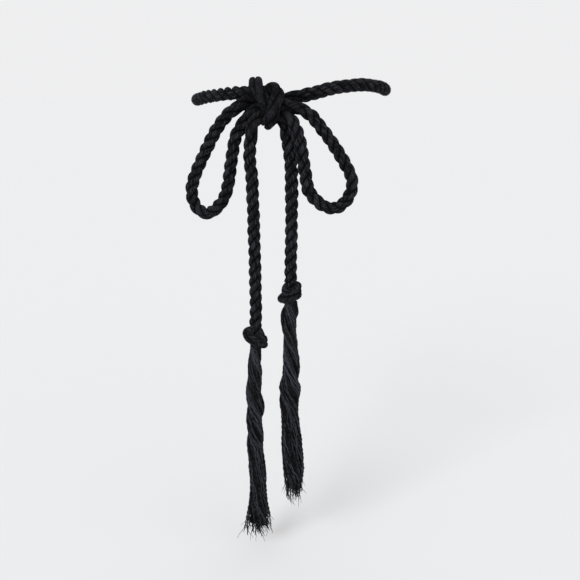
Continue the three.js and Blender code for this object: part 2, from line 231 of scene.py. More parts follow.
KNOT_LEFT_BOW_OVER_TO_WAIST = [
    (-0.0592, 0.0145, -0.0165), (-0.0528, 0.01, -0.013), (-0.0475, 0.0032, -0.0122),
    (-0.044, -0.0032, -0.0098), (-0.0414, -0.0062, -0.0031), (-0.0399, -0.004, 0.0043),
    (-0.0377, 0.002, 0.0088), (-0.0361, 0.0095, 0.0104), (-0.0342, 0.016, 0.0074),
    (-0.0317, 0.0205, 0.0016), (-0.0287, 0.0225, -0.005), (-0.025, 0.022, -0.011),
    (-0.0205, 0.018, -0.0145), (-0.018, 0.0125, -0.0135), (-0.0225, 0.0095, -0.011),
    (-0.03, 0.0085, -0.0075), (-0.037, 0.007, -0.0035), (-0.044, 0.005, -0.001),
]
# The waist's rows are shares of its half width and half depth, and the height
WAIST = [
    (-0.47, -0.995, 0.0007), (-0.55, -0.925, -0.0001), (-0.65, -0.82, -0.001), (-0.76, -0.68, -0.0028),
    (-0.86, -0.51, -0.0043), (-0.94, -0.32, -0.0064), (-0.99, -0.1, -0.0078), (-0.99, 0.14, -0.008),
    (-0.93, 0.38, -0.0062), (-0.81, 0.6, -0.0042), (-0.64, 0.78, -0.003), (-0.43, 0.91, -0.0055),
    (-0.2, 0.98, -0.0085), (0.04, 1, -0.0085), (0.28, 0.96, -0.0028), (0.5, 0.87, 0.0035),
    (0.7, 0.72, 0.0068), (0.86, 0.52, 0.0073), (0.96, 0.28, 0.0054), (1, 0.02, 0.0025),
    (0.96, -0.22, 0.0049), (0.89, -0.4, 0.0069), (0.79, -0.58, 0.0079), (0.69, -0.7, 0.0087),
    (0.57, -0.81, 0.0075), (0.43, -0.9, 0.0057), (0.3, -0.96, 0.0026), (0.2, -1.01, -0.0002),
]
KNOT_WAIST_ROUND_TO_RIGHT_TAIL = [
    (0.0115, 0.003, -0.002), (0.0035, 0.002, -0.004), (-0.004, 0.0005, -0.0065),
    (-0.012, -0.0015, -0.0085), (-0.0195, -0.0025, -0.007), (-0.0246, -0.0005, -0.0022),
    (-0.0255, 0.0045, 0.002), (-0.0215, 0.0095, 0.0037), (-0.0162, 0.0145, 0.0034),
    (-0.0141, 0.02, -0.0005), (-0.015, 0.0245, -0.007), (-0.0172, 0.0265, -0.0145),
    (-0.02, 0.0255, -0.0215), (-0.0234, 0.0215, -0.027), (-0.0246, 0.0155, -0.0296),
    (-0.021, 0.01, -0.028), (-0.0155, 0.008, -0.025), (-0.0101, 0.0093, -0.0254),
    (-0.0072, 0.0115, -0.0304),
]
TAIL_RIGHT = [
    (-0.0056, 0.0138, -0.038), (-0.0036, 0.0165, -0.047), (-0.0011, 0.0205, -0.061),
    (0.0002, 0.0245, -0.079), (0.0005, 0.028, -0.097), (0.0005, 0.031, -0.115), (0.0003, 0.034, -0.134),
    (0.0002, 0.036, -0.149), (-0.0003, 0.037, -0.164), (-0.0005, 0.0378, -0.18),
    (-0.0005, TAIL_OUT, -RIGHT_TAIL_END),
]

# End knots: each band's rows, in rope diameters from the knot's middle
LEFT_END_KNOT = [
    [
        (0.3, -0.55, 0.12), (-0.2, -0.66, 0.28), (-0.52, -0.4, 0.38), (-0.62, 0.1, 0.38),
        (-0.44, 0.52, 0.22), (0.02, 0.68, -0.06), (0.42, 0.5, -0.34), (0.62, 0.1, -0.43),
        (0.44, -0.4, -0.4),
    ],
    [
        (-0.1, -0.3, 0.44), (0.14, -0.15, 0.42), (0.38, 0.12, 0.16), (0.54, 0.2, -0.18),
        (0.54, -0.2, -0.34), (0.2, -0.55, -0.28),
    ],
]
RIGHT_END_KNOT = [
    [
        (0.48, -0.1, 0.14), (0.42, 0.4, 0.04), (0.1, 0.64, -0.1), (-0.3, 0.58, -0.3),
        (-0.6, 0.15, -0.45), (-0.5, -0.35, -0.44), (0, -0.6, -0.35),
    ],
    [
        (0, 0.4, 0.05), (-0.3, 0.4, 0.12), (-0.34, 0, 0.24), (-0.25, -0.5, 0.38), (0.15, -0.6, 0.44),
        (0.46, -0.2, 0.44), (0.5, 0.2, 0.38), (0.42, 0.4, 0.2),
    ],
]

# Tassels. A drop is a share of the tassel's length. The two shapes below have drop, shift and width.
LEFT_TASSEL_LENGTH = 0.232
RIGHT_TASSEL_LENGTH = 0.238
LEFT_TASSEL = [
    (0, -0.0008, 0.0124), (0.1, -0.0012, 0.016), (0.16, -0.0024, 0.0168), (0.25, -0.002, 0.0192),
    (0.33, -0.0012, 0.0206), (0.4, -0.0026, 0.0184), (0.49, -0.0018, 0.02), (0.59, 0, 0.0204),
    (0.67, 0, 0.02), (0.73, -0.0004, 0.0204), (0.81, 0, 0.0224), (0.88, 0.001, 0.0272),
    (0.93, 0.0014, 0.0316), (1, 0.0022, 0.039),
]
RIGHT_TASSEL = [
    (0, 0, 0.014), (0.04, -0.0006, 0.0192), (0.075, -0.0012, 0.0186), (0.12, -0.002, 0.0152),
    (0.16, -0.001, 0.0152), (0.22, 0.0008, 0.0174), (0.28, 0, 0.0194), (0.35, 0.0008, 0.0196),
    (0.4, -0.0008, 0.0256), (0.47, -0.0014, 0.023), (0.53, 0, 0.0214), (0.59, 0.0006, 0.0212),
    (0.66, 0.0008, 0.024), (0.74, 0.0008, 0.0266), (0.83, 0.0032, 0.0258), (0.92, 0.0048, 0.0216),
    (1, 0.0044, 0.0164),
]
LEFT_FRAY = 0.085  # how much shorter the shortest yarns are, as a drop
RIGHT_FRAY = 0.11
LEFT_SEED = 3
RIGHT_SEED = 8
TASSEL_DEPTH_SHARE = 0.9
TASSEL_SHADES = [(0.3, 0.05), (0.6, 0.4), (0.92, 1)]  # share of the reach from the middle, painted shade: yarns nearer the tassel's middle are darker

# A tassel's bundles
BUNDLES = 3
BUNDLE_CENTRE = 0.22  # a bundle's middle from the tassel's, over the tassel's width
BUNDLE_RADIUS = 0.27
BUNDLE_ENDS = [1, 0.975, 0.985]  # each bundle's drop
BUNDLE_TURNS = [(0, 0), (0.5, 1.15), (1, 1.55)]  # drop, turns round the tassel
TWIST_TURNS = [(0, 0), (0.5, 1.0), (1, 1.35)]  # drop, turns inside a bundle

# The yarns that fill a bundle's middle
CORE_SHARE = 0.8  # over the bundle's radius
CORE_TOP = -0.01
CORE_END = 0.93
CORE_TAPER = [(0.8, 1), (0.93, 0.6)]  # drop, share of the radius
CORE_ROWS = 140
CORE_SIDES = 14
# painted shade of the bundle's filled middle
CORE_SHADE = 0.12

# The loose yarns round it
OUTER_YARNS = 24
INNER_YARNS = 10
YARN_DIAMETER = 0.00125
YARN_TOP = -0.012
YARN_ROW = 0.00145
YARN_SIDES = 5
SHORT_YARN_CHANCE = 0.1
SHORT_YARN_LOSS = 0.1  # at most, as a drop
OUTER_REACH = (0.9, 1.0)  # from the bundle's middle, over the bundle's radius
INNER_REACH = (0.2, 0.86)
SPACING_SPREAD = 0.3  # over the outer yarns' spacing
WANDER_WAVES = (3, 7)  # in the tassel's length
WANDER_OUT = 0.06  # over the bundle's radius
WANDER_ROUND = 0.16  # in radians round the bundle
WANDER_ROUND_RATE = 1.3  # over the rate of the waves out and in
LOOSENING = [(0.86, 0), (1, 1)]  # drop, how loose
LOOSE_REACH = (-0.35, 0.3)  # over the bundle's radius
CRINKLE = [(0.3, 0.00012), (0.9, 0.00042)]  # drop, radius of the crinkle
CRINKLE_LENGTH = (0.005, 0.0085)
YARN_TAPER = 0.03  # as a drop
YARN_TIP = 0.45  # over the yarn's radius
YARN_NUMBER_SPAN = 0.98  # below 1, so that all of a yarn's sides round to its own number
STRAND_YARN_NUMBERS = 1000  # keeps the yarn numbers of a rope's strands apart

# The fine fibres at the yarns' ends
WISP_DIAMETER = 0.0006
WISP_LENGTH = 0.016
WISP_LENGTH_SHARE = (0.5, 1)
WISP_LEAN = 0.3  # across for each length down
WISP_WAVE = 0.0004
WISP_WAVE_ANGLE = 9  # in radians over the wisp's length
WISP_TAPER = (1.1, 0.5)  # over the wisp's radius, at its start and end
WISP_ROWS = 9
WISP_SIDES = 5
WISP_SHADE = 0.9

# Yarn material: dark and light, and how much each yarn differs
ROPE_DARK, ROPE_LIGHT = (0.002, 0.002, 0.0028, 1), (0.05, 0.05, 0.0625, 1)
# the rope's colours darkened for the bow's knot: painted shade for its recesses
KNOT_SHADE_ROPE_DARK, KNOT_SHADE_ROPE_LIGHT = (0.001, 0.001, 0.0015, 1), (0.033, 0.033, 0.0415, 1)
TASSEL_DARK, TASSEL_LIGHT = (0.0015, 0.0015, 0.002, 1), (0.043, 0.043, 0.054, 1)
ROPE_YARNS_DIFFER = 0.9
TASSEL_YARNS_DIFFER = 1.6
# the painted shade colour, which the yarn colour turns to where little light reaches
PAINTED_SHADE_COLOR = (0.0003, 0.0003, 0.0004, 1)
MEAN_LIGHT = 0.45  # the mean share of the light colour
# Noises: scale, detail, roughness, weight. The streaks' places are scaled before.
PATCHES = (70, 2, 0.5, 0.7)
FLUFF = (420, 2, 0.6, 1.9)
STREAKS = (1, 3, 0.6, 1.4)
FIBRES = (1500, 3, 0.6, 1.0)
STREAKS_ACROSS = 1.3  # for each yarn
STREAKS_DOWN = 230  # for each metre
PLY_PITCH = 0.0028
PLY_WEIGHT = 0.07
PLY_HEIGHT = 0.5  # over the fibres' height
BUMP_STRENGTH = 0.8
BUMP_DISTANCE = 0.0003
YARN_ROUGHNESS = 0.85
YARN_SPECULAR = 0.1
SHEEN_WEIGHT = 0.02
SHEEN_ROUGHNESS = 0.5
SHEEN_TINT = (0.65, 0.7, 0.9, 1)
# The colour sockets of the Mix node
MIX_LOW = 6
MIX_HIGH = 7
MIX_RESULT = 2

# Camera and room
PHOTO_PIXELS = 580
FOCAL_PIXELS = 720
HORIZON_PIXELS = 202  # above the picture's middle
SENSOR_WIDTH = 36
CAMERA_PLACE = (-0.0012, -0.86, 0.005)
CAMERA_PITCH = math.atan(HORIZON_PIXELS / FOCAL_PIXELS)
NEAREST_SEEN = 0.01
FARTHEST_SEEN = 200
FLOOR_GAP = 0.02
FLOOR_SIZE = 60
FLOOR_COLOR = (0.72, 0.72, 0.72, 1)
ROOM_COLOR = (0.86, 0.86, 0.87, 1)


def make_camera():
    data = bpy.data.cameras.new("camera")
    data.sensor_width = SENSOR_WIDTH
    data.lens = SENSOR_WIDTH * FOCAL_PIXELS / PHOTO_PIXELS
    data.clip_start = NEAREST_SEEN
    data.clip_end = FARTHEST_SEEN
    camera = bpy.data.objects.new("camera", data)
    camera.location = CAMERA_PLACE
    camera.rotation_euler = (math.pi / 2 - CAMERA_PITCH, 0, 0)
    bpy.context.scene.collection.objects.link(camera)
    bpy.context.scene.camera = camera


def from_waist_line(rows):
    """Points from rows of across, out from the waist's front, and up."""
    return [(across, -(WAIST_HALF_DEPTH + out), up) for across, out, up in rows]


def on_waist(rows):
    """Points from rows of shares of the waist's half width and half depth, and up."""
    return [(x * WAIST_HALF_WIDTH, y * WAIST_HALF_DEPTH, up) for x, y, up in rows]


def unit(vectors):
    return vectors / np.linalg.norm(vectors, axis=-1, keepdims=True)


def read_table(table, places, column=1):
    """A table's column at those places along its first column."""
    table = np.array(table)
    return np.interp(places, table[:, 0], table[:, column])


def smooth_curve(points, samples):
    """A centripetal Catmull-Rom curve through the points, with that many samples a span."""
    points = np.array(points, float)
    first = 2 * points[0] - points[1]
    last = 2 * points[-1] - points[-2]
    knots = np.vstack([first, points, last])
    t = np.arange(samples)[:, None] / samples
    places = []
    for x0, x1, x2, x3 in zip(knots, knots[1:], knots[2:], knots[3:]):
        d0, d1, d2 = (math.sqrt(np.linalg.norm(b - a)) for a, b in ((x0, x1), (x1, x2), (x2, x3)))
        start = ((x1 - x0) / d0 - (x2 - x0) / (d0 + d1) + (x2 - x1) / d1) * d1
        end = ((x2 - x1) / d1 - (x3 - x1) / (d1 + d2) + (x3 - x2) / d2) * d1
        square = -3 * x1 + 3 * x2 - 2 * start - end
        cube = 2 * x1 - 2 * x2 + start + end
        places.append(x1 + start * t + square * t**2 + cube * t**3)
    return np.vstack(places + [points[-1:]])


class Line:
    """A smooth line with cross directions that turn no more than the line does."""

    def __init__(self, points):
        self.places = smooth_curve(points, SAMPLES_PER_POINT)
        steps = np.linalg.norm(np.diff(self.places, axis=0), axis=1)
        self.lengths = np.concatenate([[0], np.cumsum(steps)])
        before = np.vstack([self.places[:1], self.places[:-1]])
        after = np.vstack([self.places[1:], self.places[-1:]])
        self.along = unit(after - before)
        # any direction will do that isn't nearly the line's own
        start = np.array([0, 1, 0] if abs(self.along[0][1]) < 0.9 else [1, 0, 0], float)
        side = unit(start - start.dot(self.along[0]) * self.along[0])
        self.sides = [side]
        for a, b in zip(self.along, self.along[1:]):
            side = unit(side - side.dot(b) / (1 + a.dot(b)) * (a + b))
            self.sides.append(side)
        self.sides = np.array(self.sides)

    @property
    def length(self):
        return self.lengths[-1]

    def length_at_point(self, index):
        return self.lengths[index * SAMPLES_PER_POINT]

    def at(self, lengths):
        """Places, directions along, and two cross directions at those lengths."""
        def read(values):
            return np.stack([np.interp(lengths, self.lengths, values[:, k]) for k in range(3)], 1)

        places, along, side = read(self.places), unit(read(self.along)), read(self.sides)
        side = unit(side - (side * along).sum(1, keepdims=True) * along)
        return places, along, side, np.cross(along, side)


class Piece:
    """Gathers closed tubes into one mesh."""

    def __init__(self, name):
        self.name = name
        self.points = []
        self.faces = []
        self.coords = []
        self.sharp = []
        self.shades = []
        self.count = 0

    def add_tube(self, rings, across, step, lengths, shade, sharp=None):
        """Adds a tube with closed ends.

        rings is rows x sides x 3. The texture runs from across to across + step over each side, and
        along the lengths. sharp holds the point pairs of the tube's sharp edges.
        """
        rows, sides, _ = rings.shape
        base = self.count
        self.points.append(rings.reshape(-1, 3))
        self.points.append(np.stack([rings[0].mean(0), rings[-1].mean(0)]))
        self.shades += [np.broadcast_to(shade, (rows, sides)).ravel(), np.full(2, TUBE_END_SHADE)]
        self.count += rows * sides + 2
        i, j = (x.ravel() for x in np.meshgrid(np.arange(rows - 1), np.arange(sides), indexing="ij"))
        k = (j + 1) % sides
        a, b = base + i * sides + j, base + i * sides + k
        d, c = a + sides, b + sides
        at_a = np.stack([across[i, j], lengths[i]], 1)
        at_d = np.stack([across[i + 1, j], lengths[i + 1]], 1)
        at_b, at_c = at_a + (step, 0), at_d + (step, 0)
        self.faces += [np.stack([a, b, d], 1), np.stack([b, c, d], 1)]
        self.coords += [np.stack([at_a, at_b, at_d], 1), np.stack([at_b, at_c, at_d], 1)]
        around = np.arange(sides)
        after = (around + 1) % sides
        last = base + (rows - 1) * sides
        low, high = base + rows * sides, base + rows * sides + 1
        self.faces.append(np.stack([np.full(sides, low), base + after, base + around], 1))
        self.faces.append(np.stack([np.full(sides, high), last + around, last + after], 1))
        self.coords.append(np.zeros((2 * sides, 3, 2)))
        self.sharp += [np.stack([at + around, at + after], 1) for at in (base, last)]
        if sharp is not None:
            self.sharp.append(sharp + base)

    def make(self, material):
        """Makes the object, with its texture places, sharp edges and the painted shade of its points."""
        points = np.vstack(self.points)
        faces = np.vstack(self.faces)
        coords = np.concatenate(self.coords)
        mesh = bpy.data.meshes.new(self.name)
        mesh.from_pydata(points.tolist(), [], faces.tolist())
        layer = mesh.uv_layers.new(name="yarns")
        layer.uv.foreach_set("vector", coords.astype(np.float32).ravel())
        mesh.shade_smooth()
        edges = np.zeros(len(mesh.edges) * 2, np.int32)
        mesh.edges.foreach_get("vertices", edges)
        key = [len(points), 1]  # makes one number of an edge's two points
        keys = np.sort(edges.reshape(-1, 2).astype(np.int64), axis=1) @ key
        sharp = np.sort(np.vstack(self.sharp).astype(np.int64), axis=1) @ key
        marks = mesh.attributes.new("sharp_edge", "BOOLEAN", "EDGE")
        marks.data.foreach_set("value", np.isin(keys, sharp))
        # each point's painted shade, which the material mixes into the base colour
        painted_light_share = mesh.attributes.new("painted_light_share", "FLOAT", "POINT")
        painted_light_share.data.foreach_set("value", np.concatenate(self.shades).astype(np.float32))
        mesh.materials.append(material)
        piece = bpy.data.objects.new(self.name, mesh)
        bpy.context.scene.collection.objects.link(piece)
        return piece


def strand_outline():
    """The turn and the reach, over the rope's radius, of each column of one strand."""
    groove = math.pi / STRANDS
    rim = math.cos(groove) * STRAND_CENTRE
    reach = rim + math.sqrt(STRAND_RADIUS**2 - (math.sin(groove) * STRAND_CENTRE) ** 2)
    widest = math.atan2(reach * math.sin(groove), reach * math.cos(groove) - STRAND_CENTRE)
    local = widest * (2 * np.arange(COLUMNS_PER_STRAND) / COLUMNS_PER_STRAND - 1)
    x, y = STRAND_CENTRE + STRAND_RADIUS * np.cos(local), STRAND_RADIUS * np.sin(local)
    turns, reaches = np.arctan2(y, x), np.hypot(x, y)
    reaches[0] = GROOVE_REACH
    return turns, reaches


def strand_shades():
    """The painted shade of each column of one strand, whose first column is the groove."""
    columns = np.arange(COLUMNS_PER_STRAND)
    return read_table(GROOVE_SHADES, np.minimum(columns, COLUMNS_PER_STRAND - columns))


def softness(lengths):
    """How thick the soft rope is at those lengths, over its mean thickness."""
    thickness = 1
    for share, wave in THICKNESS_WAVES:
        thickness = thickness + share * np.sin(2 * math.pi * lengths / wave)
    return thickness


def add_rope(piece, line, rows, thickness, turns):
    """Adds a stretch of twisted rope whose strands have their yarns as ridges."""
    strand_turns, strand_reaches = strand_outline()
    lengths = rows * ROW
    places, along, side, other = line.at(lengths)
    strand = np.repeat(np.arange(STRANDS), COLUMNS_PER_STRAND)
    column = np.tile(np.arange(COLUMNS_PER_STRAND), STRANDS)
    angle = 2 * math.pi * (turns[:, None] + (strand + 0.5) / STRANDS)
    angle = angle + strand_turns[column]
    crest = (rows[:, None] + np.arange(COLUMNS)) % 2 == 0
    ridge = np.where(column == 0, 0, np.where(crest, YARN_RELIEF, -YARN_RELIEF))
    # painted shade: darkest in the grooves and between yarns
    shade = strand_shades()[column] * np.where(crest, 1, VALLEY_SHADE)
    radius = ROPE_DIAMETER / 2 * np.reshape(thickness * softness(lengths), (-1, 1))
    reach = radius * strand_reaches[column] + ridge
    direction = np.cos(angle)[:, :, None] * side[:, None] + np.sin(angle)[:, :, None] * other[:, None]
    rings = places[:, None] + reach[:, :, None] * direction
    across = (rows[:, None] + np.arange(COLUMNS)) / COLUMNS_PER_YARN + STRAND_YARN_NUMBERS * strand
    i, j = (x.ravel() for x in np.meshgrid(np.arange(len(rows) - 1), np.arange(COLUMNS), indexing="ij"))
    k = (j + 1) % COLUMNS
    valley = (rows[i] + j + 1) % 2 == 1
    valleys = np.stack([i * COLUMNS + k, (i + 1) * COLUMNS + j], 1)[valley]
    groove = j % COLUMNS_PER_STRAND == 0
    grooves = np.stack([i * COLUMNS + j, (i + 1) * COLUMNS + j], 1)[groove]
    piece.add_tube(rings, across, 1 / COLUMNS_PER_YARN, lengths, shade, np.vstack([valleys, grooves]))


def belt_rope():
    """The whole rope between the end knots, and the rows of each named stretch."""
    stretches = [
        ("tail_left", from_waist_line(TAIL_LEFT)),
        ("bow_knot", from_waist_line(KNOT_LEFT_TAIL_TO_RIGHT_BOW)),
        ("bow_loop_right", from_waist_line(BOW_LOOP_RIGHT)),
        ("bow_knot", from_waist_line(KNOT_RIGHT_BOW_TO_LEFT_BOW)),
        ("bow_loop_left", from_waist_line(BOW_LOOP_LEFT)),
        ("bow_knot", from_waist_line(KNOT_LEFT_BOW_OVER_TO_WAIST)),
        ("waist_rope", on_waist(WAIST)),
        ("bow_knot", from_waist_line(KNOT_WAIST_ROUND_TO_RIGHT_TAIL)),
        ("tail_right", from_waist_line(TAIL_RIGHT)),
    ]
    points = [point for _, part in stretches for point in part]
    line = Line(points)
    index, found = 0, []
    for name, part in stretches:
        start = round(line.length_at_point(index) / ROW)
        index += len(part)
        end = round(line.length_at_point(min(index, len(points) - 1)) / ROW)
        found.append((name, np.arange(start, end + 1)))
    return line, found


def rope_turns(stretches):
    """How far the rope has turned at each row."""
    knotted = np.zeros(stretches[-1][1][-1] + 1)
    for name, rows in stretches:
        if name == "bow_knot":
            knotted[rows] = 1
    knotted = np.convolve(knotted, np.full(LAY_CHANGE_ROWS, 1 / LAY_CHANGE_ROWS), "same")
    rate = (1 - knotted) / ROPE_LAY + knotted / BOW_KNOT_LAY
    return FIRST_TURN + np.cumsum(rate) * ROW


def make_belt_rope(material, knot_material):
    """The pieces of the rope between the end knots, and the middle lines of the single stretches."""
    line, stretches = belt_rope()
    turns = rope_turns(stretches)
    pieces, paths = {}, {}
    knot = Piece("rope_of_bow_knot")
    for name, rows in stretches:
        if name == "bow_knot":
            swell = 1 + BOW_KNOT_SWELL * np.sin(np.pi * np.arange(len(rows)) / (len(rows) - 1))
            add_rope(knot, line, rows, swell, turns[rows])
            continue
        piece = Piece("rope_of_" + name)
        fade = read_table(SWELL_FADE, (rows - rows[0]) * ROW)
        add_rope(piece, line, rows, 1 + SWELL_BELOW_KNOT.get(name, 0) * fade, turns[rows])
        pieces[name] = piece.make(material)
        paths[name] = line.at(rows * ROW)[0]
    pieces["bow_knot"] = knot.make(knot_material)
    return pieces, paths


def make_end_knot(name, top, bands, material):
    """An overhand knot: its bands round a straight core from its top to its bottom."""
    middle = np.array(top) - (0, 0, END_KNOT_HEIGHT / 2)
    bottom = np.array(top) - (0, 0, END_KNOT_HEIGHT)
    piece = Piece(name)

    def add(points, lay):
        line = Line(points)
        rows = np.arange(int(line.length / ROW) + 1)
        add_rope(piece, line, rows, END_KNOT_SQUEEZE, rows * ROW / lay)

    for band in bands:
        points = [middle + ROPE_DIAMETER * np.array((across, -out, up)) for across, out, up in band]
        add(points, END_KNOT_LAY)
    add([np.array(top), middle, bottom], ROPE_LAY)
    return piece.make(material)


def ring_tube(centres, radius, sides):
    """Rings round a line of centres, square to it."""
    along = unit(np.gradient(centres, axis=0))
    side = unit(np.cross(along, (0, 1, 0)))
    other = np.cross(along, side)
    angle = 2 * math.pi * np.arange(sides) / sides
    direction = np.cos(angle)[None, :, None] * side[:, None] + np.sin(angle)[None, :, None] * other[:, None]
    return centres[:, None] + np.reshape(radius, (-1, 1, 1)) * direction


def level_rings(centres, radius, sides):
    """Level rings round a line of centres, as deep for their width as a tassel."""
    angle = 2 * math.pi * np.arange(sides) / sides
    direction = np.stack([np.cos(angle), -TASSEL_DEPTH_SHARE * np.sin(angle), 0 * angle], 1)
    return centres[:, None] + np.reshape(radius, (-1, 1, 1)) * direction


def along_line(centres):
    """The length of the line up to each centre."""
    return np.concatenate([[0], np.cumsum(np.linalg.norm(np.diff(centres, axis=0), axis=1))])


class Tassel:
    """A tassel of loose yarns in bundles that swirl round it, with frayed ends."""

    def __init__(self, name, top, length, shape, fray, seed):
        self.piece = Piece(name)
        self.top = np.array(top)
        self.length = length
        self.shape = shape
        self.fray = fray
        self.draw = np.random.default_rng(seed)
        self.number = 1

    def make(self, material):
        for bundle in range(BUNDLES):
            self.add_core(bundle)
            for yarn in range(OUTER_YARNS + INNER_YARNS):
                self.number += 1
                self.add_yarn(bundle, yarn)
        return self.piece.make(material)

    def middles(self, bundle, drop):
        """The bundle's middle, the tassel's, and its width at each drop."""
        width = read_table(self.shape, drop, 2)
        turn = 2 * math.pi * (bundle / BUNDLES + read_table(BUNDLE_TURNS, drop))
        middle = np.stack([read_table(self.shape, drop), 0 * drop, -drop * self.length], 1)
        way = np.stack([np.cos(turn), TASSEL_DEPTH_SHARE * np.sin(turn), 0 * drop], 1)
        return middle + BUNDLE_CENTRE * width[:, None] * way, middle, width

    def add(self, rings, centres, shade):
        """Adds a tube whose texture places across it all round to its own number."""
        rows, sides, _ = rings.shape
        step = YARN_NUMBER_SPAN / sides
        across = self.number - YARN_NUMBER_SPAN / 2 + step * np.arange(sides)
        across = np.broadcast_to(across, (rows, sides))
        self.piece.add_tube(rings + self.top, across, step, along_line(centres), np.reshape(shade, (-1, 1)))

    def add_core(self, bundle):
        """Fills a bundle's middle, so that no light shines through."""
        drop = np.linspace(CORE_TOP, CORE_END, CORE_ROWS)
        centres, _, width = self.middles(bundle, drop)
        radius = BUNDLE_RADIUS * width * CORE_SHARE * read_table(CORE_TAPER, drop)
        self.add(level_rings(centres, radius, CORE_SIDES), centres, CORE_SHADE)

    def add_yarn(self, bundle, yarn):
        """Adds one yarn, with a fine fibre at its end."""
        draw = self.draw
        end = BUNDLE_ENDS[bundle] * (1 - self.fray * draw.random())
        if draw.random() < SHORT_YARN_CHANCE:
            end -= SHORT_YARN_LOSS * draw.random()
        drop = np.linspace(YARN_TOP, end, int(self.length * end / YARN_ROW))
        centres, middle, width = self.middles(bundle, drop)
        phase = self.swirl(centres, width, drop, yarn)
        self.crinkle(centres, drop)
        radius = YARN_DIAMETER / 2 * np.interp(drop, (end - YARN_TAPER, end), (1, YARN_TIP))
        # painted shade: yarns nearer the tassel's middle are darker
        out = (centres - middle) / (1, TASSEL_DEPTH_SHARE, 1)
        share = np.hypot(out[:, 0], out[:, 1]) / ((BUNDLE_CENTRE + BUNDLE_RADIUS) * width)
        shade = read_table(TASSEL_SHADES, share)
        self.add(ring_tube(centres, radius, YARN_SIDES), centres, shade)
        self.add_wisp(centres, drop, end - YARN_TAPER, phase)

    def swirl(self, centres, width, drop, yarn):
        """Moves a yarn's centres out to its place in the bundle, and returns the phase of its waves."""
        draw = self.draw
        outer = yarn < OUTER_YARNS
        start = 2 * math.pi * (yarn + draw.uniform(-SPACING_SPREAD, SPACING_SPREAD)) / OUTER_YARNS
        if not outer:
            start = 2 * math.pi * draw.random()
        share = draw.uniform(*(OUTER_REACH if outer else INNER_REACH))
        phase, waves = 2 * math.pi * draw.random(), draw.uniform(*WANDER_WAVES)
        share = share + WANDER_OUT * np.sin(2 * math.pi * drop * waves + phase)
        wander = WANDER_ROUND * np.sin(2 * math.pi * drop * waves * WANDER_ROUND_RATE + 2 * phase)
        around = start + 2 * math.pi * read_table(TWIST_TURNS, drop) + wander
        loose = read_table(LOOSENING, drop) * draw.uniform(*LOOSE_REACH)
        reach = BUNDLE_RADIUS * width * (share + loose)
        centres[:, 0] += reach * np.cos(around)
        centres[:, 1] += TASSEL_DEPTH_SHARE * reach * np.sin(around)
        return phase

    def crinkle(self, centres, drop):
        """Winds a yarn's centres into a fine helix."""
        wave = drop * self.length / self.draw.uniform(*CRINKLE_LENGTH) + self.draw.random()
        radius = read_table(CRINKLE, drop)
        centres[:, 0] += radius * np.cos(2 * math.pi * wave)
        centres[:, 1] += radius * np.sin(2 * math.pi * wave)

    def add_wisp(self, centres, drop, start, phase):
        """Adds a fine fibre that leaves the yarn at that drop."""
        draw = self.draw
        run = np.linspace(0, 1, WISP_ROWS)
        place = np.array([np.interp(start, drop, centres[:, k]) for k in range(3)])
        way = np.array((draw.normal(0, WISP_LEAN), draw.normal(0, WISP_LEAN), -1))
        wisp = place + WISP_LENGTH * draw.uniform(*WISP_LENGTH_SHARE) * run[:, None] * way
        wisp[:, 0] += WISP_WAVE * np.sin(WISP_WAVE_ANGLE * run + phase)
        radius = WISP_DIAMETER / 2 * np.interp(run, (0, 1), WISP_TAPER)
        self.add(ring_tube(wisp, radius, WISP_SIDES), wisp, WISP_SHADE)


class Nodes:
    """Short calls for a material's nodes."""

    def __init__(self, name):
        self.material = bpy.data.materials.new(name)
        self.material.use_nodes = True
        self.tree = self.material.node_tree
        self.shader = self.tree.nodes["Principled BSDF"]

    def add(self, kind, *inputs, **settings):
        node = self.tree.nodes.new("ShaderNode" + kind)
        for key, value in settings.items():
            setattr(node, key, value)
        for socket, value in inputs:
            self.put(node.inputs[socket], value)
        return node

    def put(self, socket, value):
        if isinstance(value, bpy.types.NodeSocket):
            self.tree.links.new(value, socket)
        else:
            socket.default_value = value

    def shade(self, **values):
        """Sets the shader's inputs, named with _ for each space."""
        for name, value in values.items():
            self.put(self.shader.inputs[name.replace("_", " ")], value)

    def math(self, operation, a, b=0.0):
        return self.add("Math", (0, a), (1, b), operation=operation).outputs[0]

    def mix(self, share, low, high):
        """Colours mixed by a share, which is held between 0 and 1."""
        node = self.add("Mix", ("Factor", share), data_type="RGBA")
        self.put(node.inputs[MIX_LOW], low)
        self.put(node.inputs[MIX_HIGH], high)
        return node.outputs[MIX_RESULT]

    def noise(self, place, scale, detail, roughness):
        inputs = (("Vector", place), ("Scale", scale), ("Detail", detail), ("Roughness", roughness))
        return self.add("TexNoise", *inputs).outputs["Fac"]


